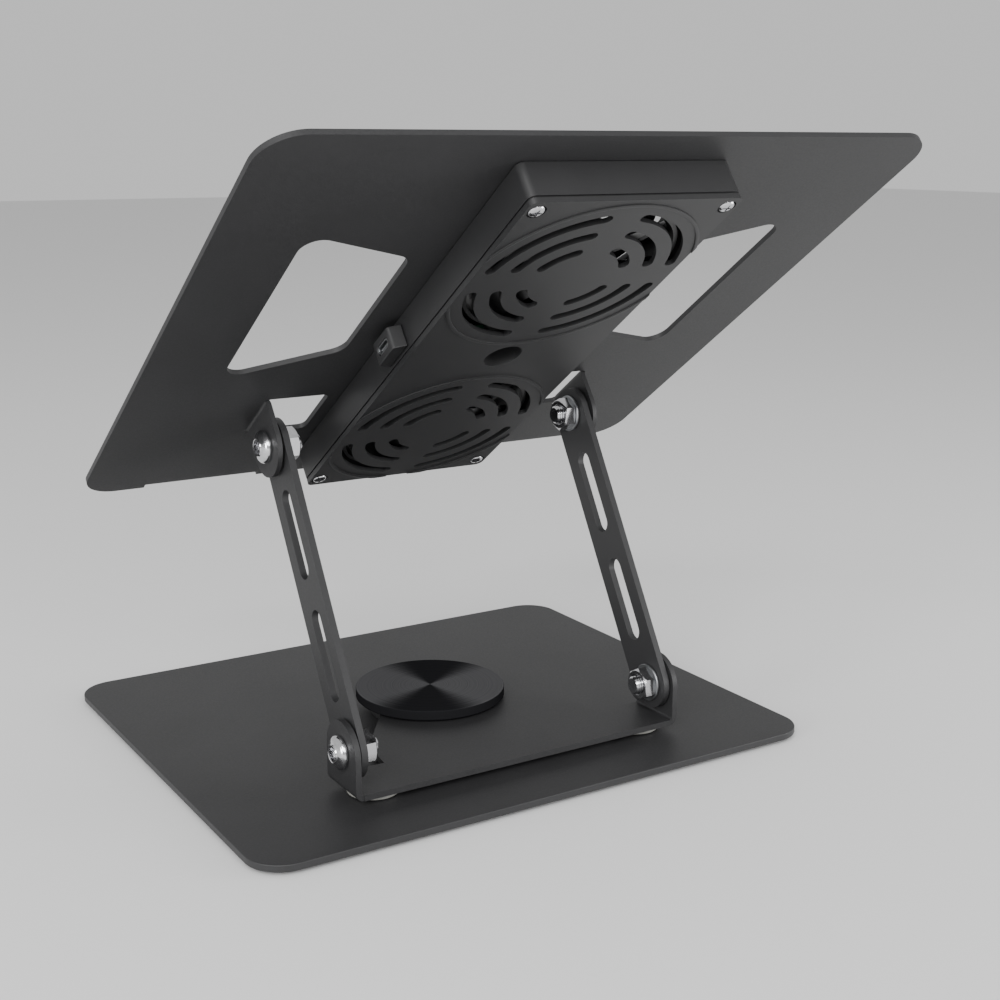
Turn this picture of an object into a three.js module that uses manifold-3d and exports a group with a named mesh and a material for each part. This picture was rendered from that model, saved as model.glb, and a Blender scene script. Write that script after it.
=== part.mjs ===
// Laptop cooling stand: weighted base, swivelling bracket, two folding arms and a tray with two fans.
// Millimetres, +Z up. The origin is on the swivel axis at desk level; the user sits on the -Y side,
// so "left" is -X and "right" is +X.
import * as THREE from 'three';
import { mergeVertices } from 'three/addons/utils/BufferGeometryUtils.js';
import Module from 'manifold-3d';

const wasm = await Module();
wasm.setup();

// ---------------------------------------------------------------- driving dimensions
const GAP = 0.3;                 // between touching pieces of the tray and between moving pieces
const FOOT_HEIGHT = 2;
const PAD_GAP = 0.1;             // glue line over a stuck-on pad

const BASE = { width: 255, depth: 215, thickness: 3, corner: 15 };
const FOOT = { radius: 10, inset: 20 };
const CENTRE_PAD_RADIUS = 22;

const BOLT_RADIUS = 3.9;         // M8 thread of the swivel bolt and of the hinge bolts
const HOLE_RADIUS = 4.1;
const SLEEVE_RADIUS = 8;
const DISC = { radius: 33, thickness: 4.6, rim: 0.8 };
const SWIVEL_WASHER = { radius: 27, height: 2.3 };

const BRACKET = { sheet: 2.4, bottom: 7.8, rear: 79.8, neckRadius: 27, rearCorner: 5 };
const EAR = { outer: 76.6, radius: 12.5, bend: 1 };
const GLIDE = { x: 63, y: 67, radius: 10.5, height: 2.3 };

const LOWER_PIVOT = { y: 67, z: 24 };
const ARM = { length: 125, lean: 30, width: 22.4, inner: 70.5, outer: 73.3 };
const ARM_SLOT = { width: 8.6, length: 37, fromMiddle: 6.4 };

const HEAD = { radius: 6.8, height: 3.8, socket: 3.2 };
const NUT = { acrossFlats: 12.6, height: 5 };
const BOLT_END = 62;             // where the threaded ends stop, from the middle plane

const TRAY = { width: 270.5, depth: 250, sheet: 2, corner: 15, tilt: 35.4 };
const TRAY_PIVOT = { v: 61.5, n: -13.8 };
const CUTOUT = { inner: 49.5, front: 45, rear: 75.5, corner: 3 };
const WINDOW = {
  inner: 57.4, outer: 102.7, outerFront: 97.3, outerRear: 195.9, innerFront: 113, innerRear: 179, corner: 7,
};
const LIP = { centre: 82.5, width: 51, height: 19, bend: 1.5, corner: 6 };

const BOX = { halfWidth: 44, front: 18.5, rear: 236.5, wall: 2, depth: 15.7, coverThickness: 1.9, corner: 3 };
const FAN_CENTRES = { rear: 186.6, front: 64.6 };
const SLOT_RINGS = [[17.1, 21.4], [27.2, 31.5], [37.3, 41.6]];
const SLOT_CROSS = 6;            // half of the solid cross between the slots
const GRILLE_RING = { inner: 46.2, outer: 47.6, height: 0.5 };
const SHROUD = { inner: 39, outer: 40.6, top: -1, bottom: -12.6 };
const MOTOR_PLATE = { radius: 15, thickness: 1.6 };
const ROTOR = { hub: 14.5, tip: 37.8, blades: 9, top: -3.4, bottom: -12.2, pitch: 32, blade: 1.2 };
const STATOR = { radius: 10.5, tube: 3, shaft: 1.4 };
const SCREW_PLACES = [[-39.5, 24], [39.5, 24], [-39.5, 231], [39.5, 231]];
const PORT = { v: 128.5, length: 17, chamfer: 1.5, reach: 5.6, top: -3, bottom: -12 };
const SOCKET = { width: 9, height: 3.4, depth: 6.6 };
const WELL = { v: 128.7, radius: 7.8, wall: 1.6, top: -0.8 };
const BOARD = { x: 14, v: 131.7 };

// ---------------------------------------------------------------- colours and finishes
const finish = (color, roughness, metalness) => ({ color, roughness, metalness });
const POWDER_COAT = finish('#3a3a3b', 0.62, 0.1);
const ABS = finish('#2a2a2b', 0.55, 0);
const SILICONE = finish('#1c1c1d', 0.85, 0);
const NYLON = finish('#8d8d8a', 0.5, 0);
const BLACK_NYLON = finish('#1b1b1c', 0.5, 0);
const CHROME = finish('#d6d6d8', 0.18, 1);
const STEEL = finish('#a9aaac', 0.35, 1);
const SPUN_BLACK = finish('#18181a', 0.28, 0.8);
const BOARD_GREEN = finish('#1f4a34', 0.6, 0);
const COPPER = finish('#8a4b2a', 0.4, 0.6);
const LEAD_BLACK = finish('#111112', 0.6, 0);

// ---------------------------------------------------------------- geometry helpers
const ALONG_X = new THREE.Matrix4().makeBasis(
  new THREE.Vector3(0, 1, 0), new THREE.Vector3(0, 0, 1), new THREE.Vector3(1, 0, 0));
const rad = THREE.MathUtils.degToRad;

function toSolid(geometry) {
  const bare = geometry.clone();
  bare.deleteAttribute('normal');
  bare.deleteAttribute('uv');
  const merged = mergeVertices(bare, 1e-4);
  const corners = merged.index.array;
  const kept = [];
  for (let i = 0; i < corners.length; i += 3) {
    const [a, b, c] = [corners[i], corners[i + 1], corners[i + 2]];
    if (a !== b && b !== c && c !== a) kept.push(a, b, c);
  }
  const vertProperties = new Float32Array(merged.attributes.position.array);
  return new wasm.Manifold(new wasm.Mesh({ numProp: 3, vertProperties, triVerts: new Uint32Array(kept) }));
}

function toGeometry(solid) {
  const mesh = solid.getMesh();
  const geometry = new THREE.BufferGeometry();
  geometry.setAttribute('position', new THREE.BufferAttribute(mesh.vertProperties, 3));
  geometry.setIndex(new THREE.BufferAttribute(mesh.triVerts, 1));
  geometry.computeVertexNormals();
  return geometry;
}

const alongX = (geometry) => geometry.applyMatrix4(new THREE.Matrix4().makeRotationY(Math.PI / 2));
const join = (first, ...rest) => rest.reduce((sum, next) => sum.add(next), first);
const cut = (first, ...rest) => rest.reduce((left, next) => left.subtract(next), first);

// A flat outline raised from z = bottom to z = top.
function slab(shape, bottom, top, curveSegments = 4) {
  const settings = { depth: top - bottom, bevelEnabled: false, curveSegments };
  const geometry = new THREE.ExtrudeGeometry(shape, settings);
  return toSolid(geometry.translate(0, 0, bottom));
}

// An outline drawn in (y, z) and extruded along X.
function barX(shape, from, to, curveSegments = 4) {
  const [low, high] = [Math.min(from, to), Math.max(from, to)];
  const settings = { depth: high - low, bevelEnabled: false, curveSegments };
  const geometry = new THREE.ExtrudeGeometry(shape, settings);
  return toSolid(geometry.translate(0, 0, low).applyMatrix4(ALONG_X));
}

// An outline drawn in (x, z) and extruded along Y.
function barY(shape, from, to, curveSegments = 3) {
  const geometry = new THREE.ExtrudeGeometry(shape, { depth: to - from, bevelEnabled: false, curveSegments });
  return toSolid(geometry.rotateX(Math.PI / 2).translate(0, to, 0));
}

// A profile of (radius, height) pairs turned about the Z axis,
// from the axis at the bottom to the axis at the top.
function turned(profile, segments = 24) {
  const geometry = new THREE.LatheGeometry(profile.map(([r, z]) => new THREE.Vector2(r, z)), segments);
  return toSolid(geometry.rotateX(Math.PI / 2));
}

function circle(radius, x = 0, y = 0) {
  const shape = new THREE.Shape();
  shape.absarc(x, y, radius, 0, Math.PI * 2, false);
  return shape;
}

function ring(outer, inner, x = 0, y = 0) {
  const shape = circle(outer, x, y);
  const hole = new THREE.Path();
  hole.absarc(x, y, inner, 0, Math.PI * 2, true);
  shape.holes.push(hole);
  return shape;
}

// A closed polygon whose corners are rounded by arcs that touch both sides.
function roundedPolygon(points, radii) {
  const shape = new THREE.Shape();
  points.forEach(([x, y], i) => {
    const here = new THREE.Vector2(x, y);
    const before = new THREE.Vector2(...points.at(i - 1)).sub(here).normalize();
    const after = new THREE.Vector2(...points[(i + 1) % points.length]).sub(here).normalize();
    const radius = Array.isArray(radii) ? radii[i] : radii;
    if (!radius) {
      i === 0 ? shape.moveTo(x, y) : shape.lineTo(x, y);
      return;
    }
    const half = Math.acos(THREE.MathUtils.clamp(before.dot(after), -1, 1)) / 2;
    const start = here.clone().addScaledVector(before, radius / Math.tan(half));
    const end = here.clone().addScaledVector(after, radius / Math.tan(half));
    const middle = before.clone().add(after).normalize().multiplyScalar(radius / Math.sin(half)).add(here);
    const clockwise = before.cross(after) > 0;
    i === 0 ? shape.moveTo(start.x, start.y) : shape.lineTo(start.x, start.y);
    const from = Math.atan2(start.y - middle.y, start.x - middle.x);
    const to = Math.atan2(end.y - middle.y, end.x - middle.x);
    shape.absarc(middle.x, middle.y, radius, from, to, clockwise);
  });
  shape.closePath();
  return shape;
}

function rectangle(x0, x1, y0, y1, corner = 0) {
  return roundedPolygon([[x0, y0], [x1, y0], [x1, y1], [x0, y1]], corner);
}

// A slot with round ends between two points.
function slotShape(from, to, width) {
  const angle = Math.atan2(to[1] - from[1], to[0] - from[0]);
  const shape = new THREE.Shape();
  shape.absarc(from[0], from[1], width / 2, angle + Math.PI / 2, angle + Math.PI * 1.5, false);
  shape.absarc(to[0], to[1], width / 2, angle - Math.PI / 2, angle + Math.PI / 2, false);
  shape.closePath();
  return shape;
}

function piece(name, solid, look) {
  const geometry = solid.isBufferGeometry ? solid : toGeometry(solid);
  const mesh = new THREE.Mesh(geometry, new THREE.MeshStandardMaterial(look));
  mesh.name = name;
  return mesh;
}

const mirrored = (solid) => {
  const geometry = toGeometry(solid).scale(-1, 1, 1);
  const index = geometry.index.array;
  for (let i = 0; i < index.length; i += 3) [index[i], index[i + 1]] = [index[i + 1], index[i]];
  return geometry;
};

// The same piece on the right (+X) and, mirrored, on the left (-X).
const pair = (name, solid, look) => [
  piece(`${name}_right`, solid, look),
  piece(`${name}_left`, mirrored(solid), look),
];

// ---------------------------------------------------------------- base
const baseBottom = FOOT_HEIGHT;
const baseTop = FOOT_HEIGHT + BASE.thickness;
const bracketTop = BRACKET.bottom + BRACKET.sheet;
const discBottom = bracketTop + 2 * GAP + 0.2;

function basePlate() {
  const outline = rectangle(-BASE.width / 2, BASE.width / 2, -BASE.depth / 2, BASE.depth / 2, BASE.corner);
  const countersink = turned([[0, baseBottom - 1], [8.9, baseBottom - 1], [7.9, baseBottom],
    [HOLE_RADIUS, baseTop + 0.8], [0, baseTop + 0.8]]);
  return cut(slab(outline, baseBottom, baseTop), countersink);
}

function foot(name, x, y) {
  return piece(name, slab(circle(FOOT.radius, x, y), 0, FOOT_HEIGHT - PAD_GAP, 8), SILICONE);
}

function feet() {
  const x = BASE.width / 2 - FOOT.inset;
  const y = BASE.depth / 2 - FOOT.inset;
  return [
    foot('foot_front_left', -x, -y),
    foot('foot_front_right', x, -y),
    foot('foot_rear_left', -x, y),
    foot('foot_rear_right', x, y),
  ];
}

function swivelBolt() {
  const top = discBottom + 3;
  return turned([[0, baseBottom + 0.1], [7.5, baseBottom + 0.1], [BOLT_RADIUS, baseTop - 0.1],
    [BOLT_RADIUS, top], [0, top]]);
}

function swivelDisc() {
  const top = discBottom + DISC.thickness;
  const outside = turned([[0, discBottom], [DISC.radius - 0.6, discBottom], [DISC.radius, discBottom + 0.6],
    [DISC.radius, top - DISC.rim], [DISC.radius - DISC.rim, top], [0, top]], 48);
  return cut(outside, slab(circle(HOLE_RADIUS), discBottom - 1, discBottom + 3.3, 8));
}

function baseGroup() {
  const group = new THREE.Group();
  const washerBottom = baseTop + 0.2;
  group.add(
    piece('base_plate', basePlate(), POWDER_COAT),
    ...feet(),
    piece('centre_pad', slab(circle(CENTRE_PAD_RADIUS), 0, FOOT_HEIGHT - PAD_GAP, 12), SILICONE),
    piece('swivel_bolt', swivelBolt(), STEEL),
    piece('swivel_washer_lower', slab(ring(SWIVEL_WASHER.radius, HOLE_RADIUS + 0.2),
      washerBottom, washerBottom + SWIVEL_WASHER.height, 12), BLACK_NYLON),
    piece('swivel_sleeve', slab(ring(SLEEVE_RADIUS, HOLE_RADIUS), BRACKET.bottom, bracketTop, 8), STEEL),
    piece('swivel_washer_upper',
      slab(ring(24, HOLE_RADIUS + 0.2), bracketTop + GAP, discBottom - 0.1, 10), BLACK_NYLON),
    piece('swivel_disc', swivelDisc(), SPUN_BLACK),
  );
  return group;
}

// ---------------------------------------------------------------- swivelling bracket
// The bracket's right half outline, from the front of the neck round to the middle of the rear edge.
function bracketOutline() {
  const edge = EAR.outer - BRACKET.sheet - EAR.bend;
  const earFront = LOWER_PIVOT.y - EAR.radius;
  const right = [[34, 15], [44, 29.5], [50, 42], [52.5, earFront + 1.5],
    [edge, earFront], [edge, BRACKET.rear]];
  const neck = new THREE.Shape();
  neck.moveTo(BRACKET.neckRadius, 4);
  neck.splineThru([[29, 8], ...right.slice(0, 4)].map(([x, y]) => new THREE.Vector2(x, y)));
  neck.lineTo(edge, earFront);
  neck.lineTo(edge, BRACKET.rear);
  neck.lineTo(-edge, BRACKET.rear);
  neck.lineTo(-edge, earFront);
  neck.lineTo(-52.5, earFront + 1.5);
  const left = [...right.slice(0, 3).reverse(), [29, 8], [BRACKET.neckRadius, 4]];
  neck.splineThru(left.map(([x, y]) => new THREE.Vector2(-x, y)));
  neck.absarc(0, 0, Math.hypot(BRACKET.neckRadius, 4), Math.PI - Math.atan2(4, BRACKET.neckRadius),
    Math.PI * 2 + Math.atan2(4, BRACKET.neckRadius), false);
  neck.closePath();
  return neck;
}

// An upright ear with its bend, drawn in (x, z) from the sheet's edge, for the right side.
function bentEarProfile({ sheet, bottom, top, start, reach }) {
  const bend = EAR.bend;
  const centre = [EAR.outer - sheet - bend, top + bend];
  const shape = new THREE.Shape();
  shape.moveTo(start, bottom);
  shape.lineTo(centre[0], bottom);
  shape.absarc(centre[0], centre[1], bend + sheet, -Math.PI / 2, 0, false);
  shape.lineTo(EAR.outer, reach);
  shape.lineTo(EAR.outer - sheet, reach);
  shape.absarc(centre[0], centre[1], bend, 0, -Math.PI / 2, true);
  shape.lineTo(start, top);
  shape.closePath();
  return shape;
}

// The rounded outline of an ear, in (y, z), with its pivot hole's centre at the given place.
function earOutline(y, z, foot) {
  const shape = new THREE.Shape();
  const up = z > foot ? 1 : -1;
  shape.moveTo(y + up * EAR.radius, foot);
  shape.lineTo(y + up * EAR.radius, z);
  shape.absarc(y, z, EAR.radius, up > 0 ? 0 : Math.PI, up > 0 ? Math.PI : Math.PI * 2, false);
  shape.lineTo(y - up * EAR.radius, foot);
  shape.closePath();
  return shape;
}

function swivelBracket() {
  const { y, z } = LOWER_PIVOT;
  const floor = slab(bracketOutline(), BRACKET.bottom, bracketTop, 3);
  const profile = bentEarProfile(
    { sheet: BRACKET.sheet, bottom: BRACKET.bottom, top: bracketTop, start: 66, reach: z + 20 });
  const strip = barY(profile, y - EAR.radius, BRACKET.rear);
  const outline = barX(earOutline(y, z, 0), 60, 80, 6);
  const ear = strip.intersect(outline).subtract(barX(circle(HOLE_RADIUS, y, z), 60, 80, 6));
  return cut(join(floor, ear, toSolid(mirrored(ear))), slab(circle(SLEEVE_RADIUS + 0.2), 0, 20, 8));
}

function glidePad() {
  const top = BRACKET.bottom - PAD_GAP;
  return slab(circle(GLIDE.radius, GLIDE.x, GLIDE.y), top - GLIDE.height, top, 10);
}

// ---------------------------------------------------------------- hinge hardware, right side, at one pivot
function hingeBolt(y, z) {
  const head = EAR.outer + 0.15;
  const dome = toGeometry(turned([[0, 0], [HEAD.radius, 0], [HEAD.radius, 0.8], [HEAD.radius * 0.86, 2.5],
    [HEAD.radius * 0.58, HEAD.height], [0, HEAD.height]], 18));
  const cap = toSolid(alongX(dome).translate(head, y, z));
  const socket = new THREE.Shape(Array.from({ length: 6 }, (_, i) =>
    new THREE.Vector2(
      y + HEAD.socket * Math.cos(i * Math.PI / 3), z + HEAD.socket * Math.sin(i * Math.PI / 3))));
  const shank = barX(circle(BOLT_RADIUS, y, z), BOLT_END, head + 0.5, 6);
  return cut(join(cap, shank), barX(socket, head + 1.4, head + 10));
}

function hexNut(y, z, outer) {
  const corner = NUT.acrossFlats / Math.sqrt(3);
  const hexagon = new THREE.Shape(Array.from({ length: 6 }, (_, i) =>
    new THREE.Vector2(y + corner * Math.cos(rad(i * 60 + 30)), z + corner * Math.sin(rad(i * 60 + 30)))));
  const chamfer = toGeometry(turned([[0, -NUT.height], [corner - 1, -NUT.height],
    [corner + 0.3, -NUT.height + 0.9], [corner + 0.3, 0], [0, 0]], 18));
  const round = toSolid(alongX(chamfer).translate(outer, y, z));
  return barX(hexagon, outer - NUT.height, outer)
    .intersect(round).subtract(barX(circle(HOLE_RADIUS, y, z), 50, 80, 6));
}

const hingeWasher = (y, z, from, to, radius) => barX(ring(radius, HOLE_RADIUS, y, z), from, to, 6);

function hingeHardware(level, { y, z }, earInner) {
  const nutFace = ARM.inner - 1.2;
  return [
    ...pair(`${level}_bolt`, hingeBolt(y, z), CHROME),
    ...pair(`${level}_ear_washer`, hingeWasher(y, z, ARM.outer + 0.15, earInner - 0.15, 8.6), NYLON),
    ...pair(`${level}_nut_washer`, hingeWasher(y, z, nutFace + 0.1, ARM.inner - 0.15, 8), STEEL),
    ...pair(`${level}_nut`, hexNut(y, z, nutFace), CHROME),
  ];
}

function bracketGroup() {
  const group = new THREE.Group();
  group.add(
    piece('swivel_bracket', swivelBracket(), POWDER_COAT),
    ...pair('glide_pad', glidePad(), NYLON),
    ...hingeHardware('lower', LOWER_PIVOT, EAR.outer - BRACKET.sheet),
  );
  return group;
}

// ---------------------------------------------------------------- arms
const armDirection = { y: -Math.sin(rad(ARM.lean)), z: Math.cos(rad(ARM.lean)) };
const UPPER_PIVOT = {
  y: LOWER_PIVOT.y + ARM.length * armDirection.y,
  z: LOWER_PIVOT.z + ARM.length * armDirection.z,
};

const alongArm = (distance) =>
  [LOWER_PIVOT.y + distance * armDirection.y, LOWER_PIVOT.z + distance * armDirection.z];

function arm() {
  const bar = barX(slotShape(alongArm(0), alongArm(ARM.length), ARM.width), ARM.inner, ARM.outer, 8);
  const reach = ARM_SLOT.length - ARM_SLOT.width;
  const slots = [-1, 1].map((side) => {
    const near = ARM.length / 2 + side * (ARM_SLOT.fromMiddle + ARM_SLOT.width / 2);
    const ends = [alongArm(near), alongArm(near + side * reach)];
    return barX(slotShape(...(side > 0 ? ends : ends.reverse()), ARM_SLOT.width), 60, 80);
  });
  const holes = [0, ARM.length].map((distance) =>
    barX(circle(HOLE_RADIUS, ...alongArm(distance)), 60, 80, 6));
  return cut(bar, ...slots, ...holes);
}

// ---------------------------------------------------------------- tray, in its own frame: x across,
// y up the slope from the front edge, z out of the top face, with z = 0 on the underside
const trayGroup = new THREE.Group();
trayGroup.rotation.x = rad(TRAY.tilt);
trayGroup.position.set(0,
  UPPER_PIVOT.y - TRAY_PIVOT.v * Math.cos(rad(TRAY.tilt)) + TRAY_PIVOT.n * Math.sin(rad(TRAY.tilt)),
  UPPER_PIVOT.z - TRAY_PIVOT.v * Math.sin(rad(TRAY.tilt)) - TRAY_PIVOT.n * Math.cos(rad(TRAY.tilt)));

// One curved slot with round ends, between two radii and two angles, as a closed polygon.
function arcSlot(centre, inner, outer, from, to, steps) {
  const middle = (inner + outer) / 2;
  const end = (outer - inner) / 2;
  const points = [];
  const arc = (x, y, radius, start, stop, count) => {
    for (let i = 0; i < count; i += 1) {
      const angle = start + (stop - start) * i / count;
      points.push(new THREE.Vector2(x + radius * Math.cos(angle), y + radius * Math.sin(angle)));
    }
  };
  arc(0, centre, outer, from, to, steps);
  arc(middle * Math.cos(to), centre + middle * Math.sin(to), end, to, to + Math.PI, 2);
  arc(0, centre, inner, to, from, steps);
  arc(middle * Math.cos(from), centre + middle * Math.sin(from), end, from + Math.PI, from + Math.PI * 2, 2);
  return new THREE.Shape(points);
}

// Three rings of curved slots, cut into quarters by a solid cross.
function fanSlots(centre, bottom, top) {
  const quarters = [0, 1, 2, 3].map((turn) => turn * Math.PI / 2);
  return SLOT_RINGS.flatMap(([inner, outer], ringIndex) => {
    const margin = Math.asin((SLOT_CROSS + (outer - inner) / 2) / ((inner + outer) / 2));
    return quarters.map((start) => {
      const end = start + Math.PI / 2 - margin;
      return slab(arcSlot(centre, inner, outer, start + margin, end, ringIndex + 2), bottom, top);
    });
  });
}

function windowShape(side) {
  const corners = [[WINDOW.inner, WINDOW.innerFront], [WINDOW.outer, WINDOW.outerFront],
    [WINDOW.outer, WINDOW.outerRear], [WINDOW.inner, WINDOW.innerRear]];
  const placed = corners.map(([x, y]) => [side * x, y]);
  return roundedPolygon(side > 0 ? placed : placed.reverse(), WINDOW.corner);
}

// The ear folded down from the outer edge of its cut-out, right side.
function trayEar() {
  const { v, n } = TRAY_PIVOT;
  const bend = EAR.bend;
  const face = EAR.outer;
  const profile = new THREE.Shape();
  profile.moveTo(face + 4, 0);
  profile.lineTo(face + 4, TRAY.sheet);
  profile.lineTo(face + bend, TRAY.sheet);
  profile.absarc(face + bend, -bend, bend + TRAY.sheet, Math.PI / 2, Math.PI, false);
  profile.lineTo(face - TRAY.sheet, n - 20);
  profile.lineTo(face, n - 20);
  profile.absarc(face + bend, -bend, bend, Math.PI, Math.PI / 2, true);
  profile.closePath();
  const strip = barY(profile, v - EAR.radius, v + EAR.radius);
  const outline = barX(earOutline(v, n, 10), 60, 90, 6);
  return strip.intersect(outline).subtract(barX(circle(HOLE_RADIUS, v, n), 60, 90, 6));
}

// The lip bent up at the front edge that stops the laptop sliding off, right side.
function trayLip() {
  const { bend } = LIP;
  const sheet = TRAY.sheet;
  const profile = new THREE.Shape();
  profile.moveTo(bend + sheet + 4, 0);
  profile.lineTo(bend + sheet + 4, sheet);
  profile.lineTo(bend + sheet, sheet);
  profile.absarc(bend + sheet, sheet + bend, bend, -Math.PI / 2, -Math.PI, true);
  profile.lineTo(sheet, LIP.height + sheet);
  profile.lineTo(0, LIP.height + sheet);
  profile.lineTo(0, sheet + bend);
  profile.absarc(bend + sheet, sheet + bend, bend + sheet, Math.PI, Math.PI * 1.5, false);
  profile.closePath();
  const [from, to] = [LIP.centre - LIP.width / 2, LIP.centre + LIP.width / 2];
  const strip = barX(profile, from, to, 3);
  const outline = rectangle(from, to, -LIP.corner, LIP.height + sheet, LIP.corner);
  return strip.intersect(barY(outline, -1, 20));
}

function trayPlate() {
  const half = TRAY.width / 2;
  const sheet = slab(rectangle(-half, half, 0, TRAY.depth, TRAY.corner), 0, TRAY.sheet, 3);
  const cutouts = [1, -1].map((side) => {
    const xs = [side * CUTOUT.inner, side * (EAR.outer + EAR.bend)].sort((a, b) => a - b);
    return slab(rectangle(xs[0], xs[1], CUTOUT.front, CUTOUT.rear, CUTOUT.corner), -1, 5, 2);
  });
  const notches = [1, -1].map((side) => {
    const xs = [side * (LIP.centre - LIP.width / 2), side * (LIP.centre + LIP.width / 2)]
      .sort((a, b) => a - b);
    return slab(rectangle(xs[0], xs[1], -1, LIP.bend + TRAY.sheet, 0), -1, 5);
  });
  const windows = [1, -1].map((side) => slab(windowShape(side), -1, 5, 3));
  const vents = Object.values(FAN_CENTRES).flatMap((centre) => fanSlots(centre, -1, 5));
  const flat = cut(sheet, ...cutouts, ...notches, ...windows, ...vents);
  const folded = [trayEar(), trayLip()].flatMap((solid) => [solid, toSolid(mirrored(solid))]);
  return join(flat, ...folded);
}

function trayPads() {
  const rows = { front: [98, 30, 23], rear: [86, 222, 25] };
  return Object.entries(rows).flatMap(([row, [x, v, half]]) => {
    const outline = rectangle(x - half, x + half, v - 6, v + 6, 5.9);
    return pair(`tray_pad_${row}`, slab(outline, TRAY.sheet + GAP, TRAY.sheet + GAP + 1.5), SILICONE);
  });
}

function lipPad() {
  const half = LIP.width / 2 - 5;
  const outline = rectangle(
    LIP.centre - half, LIP.centre + half, TRAY.sheet + 4, TRAY.sheet + LIP.height - 2, 4);
  return barY(outline, TRAY.sheet + GAP, TRAY.sheet + GAP + 1.5);
}

// ---------------------------------------------------------------- fan box under the tray
const coverTop = -BOX.depth + BOX.coverThickness;
const housingTop = -GAP;
const housingBottom = coverTop + 0.15;

function fanHousing() {
  const { halfWidth: w, front, rear, wall, corner } = BOX;
  const frame = rectangle(-w, w, front, rear, corner);
  const inner = rectangle(-w + wall, w - wall, front + wall, rear - wall, corner - 1.5);
  frame.holes.push(new THREE.Path(inner.getPoints(2).reverse()));
  const bosses = SCREW_PLACES.map(([x, v]) => slab(circle(3.4, x, v), housingBottom, housingTop));
  const pilots = SCREW_PLACES.map(([x, v]) =>
    slab(circle(1.35, x, v), housingBottom - 1, housingBottom + 7, 4));
  const opening = barX(rectangle(PORT.v - 6, PORT.v + 6, -10.2, -4.8), 30, 60);
  return cut(join(slab(frame, housingBottom, housingTop, 3), ...bosses), ...pilots, opening);
}

function grilleCover() {
  const { halfWidth: w, front, rear, corner } = BOX;
  const outline = rectangle(-w, w, front, rear, corner);
  const plate = slab(outline, -BOX.depth, coverTop);
  const inside = slab(
    rectangle(-w + 0.2, w - 0.2, front + 0.2, rear - 0.2, corner), -BOX.depth - 1, coverTop);
  const rims = Object.values(FAN_CENTRES).map((centre) => {
    const rim = ring(GRILLE_RING.outer, GRILLE_RING.inner, 0, centre);
    return slab(rim, -BOX.depth - GRILLE_RING.height, -BOX.depth + 0.3, 14).intersect(inside);
  });
  const slots = Object.values(FAN_CENTRES).flatMap((centre) => fanSlots(centre, -20, -10));
  const screwHoles = SCREW_PLACES.map(([x, v]) => slab(circle(1.8, x, v), -20, -10, 4));
  const sinks = SCREW_PLACES.map(([x, v]) => slab(circle(3.5, x, v), -20, -BOX.depth + 0.7, 5));
  const well = slab(circle(WELL.radius + WELL.wall, 0, WELL.v), -BOX.depth, WELL.top, 10);
  const wellBore = slab(circle(WELL.radius, 0, WELL.v), -20, WELL.top - WELL.wall, 10);
  return cut(join(plate, well, ...rims), ...slots, ...screwHoles, ...sinks, wellBore);
}

const corner = ([x, v]) => `${v < 100 ? 'front' : 'rear'}_${x < 0 ? 'left' : 'right'}`;

function coverScrew([x, v]) {
  const face = -BOX.depth + 0.6;
  const head = turned([[0, -1.3], [2, -1.3], [3, -0.5], [3, 0], [0, 0]], 16).translate([x, v, face]);
  const thread = slab(circle(1.25, x, v), face - 0.2, face + 7, 4);
  const recess = [[1.9, 0.35], [0.35, 1.9]].map(([a, b]) =>
    slab(rectangle(x - a, x + a, v - b, v + b), face - 3, face - 0.6));
  return cut(join(head, thread), ...recess);
}

// The corners of a bar pointing out from a fan's axis, from [distance, half width] at each of its ends.
function spokeCorners(angle, ends, centre) {
  const [c, s] = [Math.cos(rad(angle)), Math.sin(rad(angle))];
  const place = ([r, h]) => [r * c - h * s, r * s + h * c + centre];
  const [near, far] = ends;
  return [place([near[0], -near[1]]), place([far[0], -far[1]]), place(far), place(near)];
}

function fanFrame(centre) {
  const tube = slab(ring(SHROUD.outer, SHROUD.inner, 0, centre), SHROUD.bottom, SHROUD.top, 12);
  const plateBottom = SHROUD.top - MOTOR_PLATE.thickness;
  const motorPlate = slab(circle(MOTOR_PLATE.radius, 0, centre), plateBottom, SHROUD.top, 8);
  const spokes = [45, 135, 225, 315].map((angle) => slab(
    roundedPolygon(spokeCorners(angle, [[12, 1.5], [SHROUD.outer - 0.8, 1.5]], centre), 0),
    plateBottom, SHROUD.top));
  const bearing = slab(circle(STATOR.tube, 0, centre), -9.5, SHROUD.top - 0.5, 5);
  const bore = slab(circle(STATOR.shaft + 0.15, 0, centre), -20, -2, 4);
  return cut(join(tube, motorPlate, ...spokes, bearing), bore);
}

function fanStator(centre) {
  const poles = [0, 90, 180, 270].map((angle) => slab(
    roundedPolygon(spokeCorners(angle, [[6.5, 3.4], [10, 4.6]], centre), 0), -8.6, -4.4));
  const core = slab(circle(7.4, 0, centre), -8.6, -4.4, 6);
  return cut(join(core, ...poles), slab(circle(STATOR.tube + 0.2, 0, centre), -20, 0, 5));
}

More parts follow.
